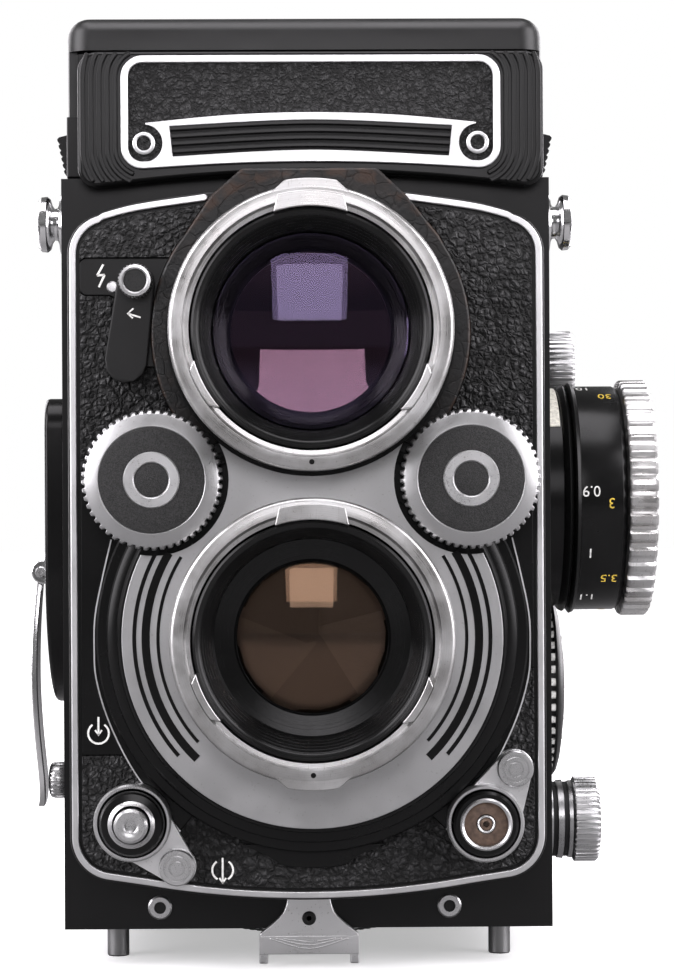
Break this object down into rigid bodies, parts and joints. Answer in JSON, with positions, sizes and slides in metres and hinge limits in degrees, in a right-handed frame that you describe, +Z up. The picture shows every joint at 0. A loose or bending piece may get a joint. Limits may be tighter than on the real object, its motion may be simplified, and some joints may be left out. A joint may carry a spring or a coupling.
{
  "type": "twin lens reflex camera",
  "caption": "Medium format roll film camera with a viewing lens above a taking lens, folding waist-level hood, side focus knob and fold-out winding crank.",
  "frame": {"origin": "centre of the bounding box on the plane that the feet stand on", "axes": "+Z up, +X to the right as seen from the front, the lenses look along -Y"},
  "size_m": [0.1042, 0.0956, 0.151],
  "materials": {
    "black_lacquer": "gloss black lacquer",
    "black_leather": "pebble grain",
    "black_anodised": "black anodised",
    "satin_silver": "satin",
    "chrome": "polished",
    "lens_glass": "coated",
    "clear_glass": "polished",
    "mirror": "front silvered",
    "blade_steel": "oiled",
    "spool_plastic": "matte"
  },
  "bodies": {
    "camera_body": {"body_casting": "black_lacquer", "reflex_mirror": "mirror", "focusing_screen": "clear_glass", "nameplate_housing": "black_lacquer", "nameplate_trim": "satin_silver", "meter_grille": "black_anodised", "tripod_tongue": "satin_silver", "strap_lug_left": "chrome", "strap_lug_right": "chrome", "focus_flange": "black_lacquer", "crank_plate": "black_lacquer", "counter_glass": "clear_glass", "hood_base": "black_lacquer"},
    "front_standard": {"front_panel": "black_lacquer", "front_trim": "satin_silver", "front_leather": "black_leather", "viewing_bezel": "black_leather", "shutter_housing": "black_anodised", "shutter_face_plate": "satin_silver", "viewing_bayonet_ring": "satin_silver", "taking_bayonet_ring": "satin_silver", "viewing_barrel": "black_anodised", "taking_barrel": "black_anodised", "viewing_glass": "lens_glass", "taking_glass": "lens_glass", "release_collar": "satin_silver", "sync_socket": "satin_silver"},
    "back_door": {"back_door": "black_lacquer", "pressure_plate": "black_lacquer"},
    "magnifier": {"magnifier": "black_lacquer", "magnifier_lens": "clear_glass"},
    "shutter_speed_wheel": {"shutter_speed_wheel": "black_anodised"},
    "aperture_wheel": {"aperture_wheel": "black_anodised"},
    "self_timer_lever": {"self_timer_lever": "black_anodised"},
    "sync_selector": {"sync_selector": "satin_silver"},
    "release_button": {"release_button": "chrome"},
    "release_lock": {"release_lock": "satin_silver"},
    "socket_lock": {"socket_lock": "satin_silver"},
    "focus_knob": {"focus_knob": "black_anodised"},
    "reminder_dial": {"reminder_dial": "black_anodised"},
    "upper_spool_knob": {"upper_spool_knob": "satin_silver"},
    "lower_spool_knob": {"lower_spool_knob": "satin_silver"},
    "counter_dial": {"counter_dial": "satin_silver"},
    "crank_hub": {"crank_hub": "chrome"},
    "crank_arm": {"crank_arm": "chrome"},
    "crank_handle": {"crank_handle": "chrome"},
    "feed_spool": {"feed_spool": "spool_plastic"},
    "takeup_spool": {"takeup_spool": "spool_plastic"},
    "back_lock_dial": {"back_lock_dial": "satin_silver"},
    "hood_lid": {"hood_lid": "black_lacquer"},
    "hood_side_left": {"hood_side_left": "black_lacquer"},
    "hood_side_right": {"hood_side_right": "black_lacquer"},
    "hood_rear": {"hood_rear": "black_lacquer"},
    "hood_lock_left": {"hood_lock_left": "black_anodised"},
    "hood_lock_right": {"hood_lock_right": "black_anodised"},
    "shutter_blade_1": {"shutter_blade_1": "blade_steel"},
    "shutter_blade_2": {"shutter_blade_2": "blade_steel"},
    "shutter_blade_3": {"shutter_blade_3": "blade_steel"},
    "shutter_blade_4": {"shutter_blade_4": "blade_steel"},
    "shutter_blade_5": {"shutter_blade_5": "blade_steel"}
  },
  "joints": [
    {"name": "focus_knob_turn", "type": "hinge", "parent": "camera_body", "child": "focus_knob", "pos_m": [0.0386, 0.0112, 0.0739], "axis": [1, 0, 0], "range_deg": [0, 276]},
    {"name": "front_standard_slide", "type": "slide", "parent": "camera_body", "child": "front_standard", "axis": [0, -1, 0], "range_m": [0, 0.006]},
    {"name": "shutter_speed_turn", "type": "hinge", "parent": "front_standard", "child": "shutter_speed_wheel", "pos_m": [-0.0288, -0.0418, 0.0771], "axis": [0, 1, 0], "range_deg": [0, 300]},
    {"name": "aperture_turn", "type": "hinge", "parent": "front_standard", "child": "aperture_wheel", "pos_m": [0.0193, -0.0418, 0.0771], "axis": [0, 1, 0], "range_deg": [0, 200]},
    {"name": "self_timer_swing", "type": "hinge", "parent": "front_standard", "child": "self_timer_lever", "pos_m": [-0.0315, -0.0335, 0.1076], "axis": [0, 1, 0], "range_deg": [0, 30]},
    {"name": "sync_selector_turn", "type": "hinge", "parent": "front_standard", "child": "sync_selector", "pos_m": [-0.0315, -0.0335, 0.1076], "axis": [0, 1, 0], "range_deg": [0, 40]},
    {"name": "release_press", "type": "slide", "parent": "front_standard", "child": "release_button", "axis": [0, 1, 0], "range_m": [0, 0.0023], "stiffness_N_per_m": 400},
    {"name": "release_lock_swing", "type": "hinge", "parent": "front_standard", "child": "release_lock", "pos_m": [-0.0324, -0.0338, 0.0247], "axis": [0, 1, 0], "range_deg": [0, 60]},
    {"name": "socket_lock_swing", "type": "hinge", "parent": "front_standard", "child": "socket_lock", "pos_m": [0.0217, -0.0338, 0.0243], "axis": [0, 1, 0], "range_deg": [0, 30]},
    {"name": "shutter_blade_1_swing", "type": "hinge", "parent": "front_standard", "child": "shutter_blade_1", "pos_m": [-0.0047, -0.0353, 0.067], "axis": [0, 1, 0], "range_deg": [0, 57]},
    {"name": "shutter_blade_2_swing", "type": "hinge", "parent": "front_standard", "child": "shutter_blade_2", "pos_m": [-0.01801, -0.0348, 0.05733], "axis": [0, 1, 0], "range_deg": [0, 57]},
    {"name": "shutter_blade_3_swing", "type": "hinge", "parent": "front_standard", "child": "shutter_blade_3", "pos_m": [-0.01293, -0.0343, 0.04167], "axis": [0, 1, 0], "range_deg": [0, 57]},
    {"name": "shutter_blade_4_swing", "type": "hinge", "parent": "front_standard", "child": "shutter_blade_4", "pos_m": [0.00353, -0.0338, 0.04167], "axis": [0, 1, 0], "range_deg": [0, 57]},
    {"name": "shutter_blade_5_swing", "type": "hinge", "parent": "front_standard", "child": "shutter_blade_5", "pos_m": [0.00861, -0.0333, 0.05733], "axis": [0, 1, 0], "range_deg": [0, 57]},
    {"name": "reminder_dial_turn", "type": "hinge", "parent": "camera_body", "child": "reminder_dial", "pos_m": [0.0336, 0.0262, 0.041], "axis": [1, 0, 0], "continuous": true},
    {"name": "upper_spool_knob_pull", "type": "slide", "parent": "camera_body", "child": "upper_spool_knob", "axis": [1, 0, 0], "range_m": [0, 0.005], "stiffness_N_per_m": 200},
    {"name": "lower_spool_knob_pull", "type": "slide", "parent": "camera_body", "child": "lower_spool_knob", "axis": [1, 0, 0], "range_m": [0, 0.005], "stiffness_N_per_m": 200},
    {"name": "crank_turn", "type": "hinge", "parent": "camera_body", "child": "crank_hub", "pos_m": [-0.0482, 0.0142, 0.0668], "axis": [-1, 0, 0], "range_deg": [0, 240]},
    {"name": "crank_fold", "type": "hinge", "parent": "crank_hub", "child": "crank_arm", "pos_m": [-0.0507, 0.0142, 0.0618], "axis": [0, 1, 0], "range_deg": [0, 172]},
    {"name": "crank_handle_spin", "type": "hinge", "parent": "crank_arm", "child": "crank_handle", "pos_m": [-0.049, 0.0142, 0.0263], "axis": [1, 0, 0], "continuous": true},
    {"name": "counter_turn", "type": "hinge", "parent": "camera_body", "child": "counter_dial", "pos_m": [-0.0464, 0.0042, 0.084], "axis": [-1, 0, 0], "range_deg": [0, 30.5]},
    {"name": "feed_spool_spin", "type": "hinge", "parent": "camera_body", "child": "feed_spool", "pos_m": [-0.0054, -0.0003, 0.0208], "axis": [1, 0, 0], "continuous": true},
    {"name": "takeup_spool_spin", "type": "hinge", "parent": "camera_body", "child": "takeup_spool", "pos_m": [-0.0054, 0.0319, 0.0967], "axis": [-1, 0, 0], "range_deg": [0, 241]},
    {"name": "back_door_open", "type": "hinge", "parent": "camera_body", "child": "back_door", "pos_m": [-0.0054, 0.0461, 0.115], "axis": [1, 0, 0], "range_deg": [0, 120]},
    {"name": "back_lock_turn", "type": "hinge", "parent": "back_door", "child": "back_lock_dial", "pos_m": [-0.0054, 0.0102, 0.005], "axis": [0, 0, 1], "range_deg": [0, 90]},
    {"name": "hood_open", "type": "hinge", "parent": "camera_body", "child": "hood_lid", "pos_m": [-0.0054, -0.0173, 0.147], "axis": [1, 0, 0], "range_deg": [0, 90]},
    {"name": "hood_side_left_fold", "type": "hinge", "parent": "camera_body", "child": "hood_side_left", "pos_m": [-0.041, 0.0142, 0.134], "axis": [0, -1, 0], "range_deg": [0, 90.5]},
    {"name": "hood_side_right_fold", "type": "hinge", "parent": "camera_body", "child": "hood_side_right", "pos_m": [0.0302, 0.0142, 0.134], "axis": [0, 1, 0], "range_deg": [0, 90.5]},
    {"name": "hood_rear_fold", "type": "hinge", "parent": "camera_body", "child": "hood_rear", "pos_m": [-0.0054, 0.0438, 0.146], "axis": [-1, 0, 0], "range_deg": [0, 90.5]},
    {"name": "magnifier_swing", "type": "hinge", "parent": "hood_lid", "child": "magnifier", "pos_m": [-0.0054, 0.0127, 0.148], "axis": [-1, 0, 0], "range_deg": [0, 90.5]},
    {"name": "hood_lock_left_slide", "type": "slide", "parent": "camera_body", "child": "hood_lock_left", "axis": [0, 1, 0], "range_m": [0, 0.003]},
    {"name": "hood_lock_right_slide", "type": "slide", "parent": "camera_body", "child": "hood_lock_right", "axis": [0, 1, 0], "range_m": [0, 0.003]}
  ],
  "couplings": [
    {"joint": "focus_knob_turn", "follows": "front_standard_slide", "rad_per_m": 800},
    {"joint": "takeup_spool_spin", "follows": "crank_turn", "ratio": 1},
    {"joint": "counter_turn", "follows": "crank_turn", "ratio": 0.125},
    {"joint": "hood_side_left_fold", "follows": "hood_open", "ratio": 1},
    {"joint": "hood_side_right_fold", "follows": "hood_open", "ratio": 1},
    {"joint": "hood_rear_fold", "follows": "hood_open", "ratio": 1},
    {"joint": "magnifier_swing", "follows": "hood_open", "ratio": 1},
    {"joint": "shutter_blade_1_swing", "follows": "release_press", "rad_per_m": 420},
    {"joint": "shutter_blade_2_swing", "follows": "release_press", "rad_per_m": 420},
    {"joint": "shutter_blade_3_swing", "follows": "release_press", "rad_per_m": 420},
    {"joint": "shutter_blade_4_swing", "follows": "release_press", "rad_per_m": 420},
    {"joint": "shutter_blade_5_swing", "follows": "release_press", "rad_per_m": 420}
  ]
}
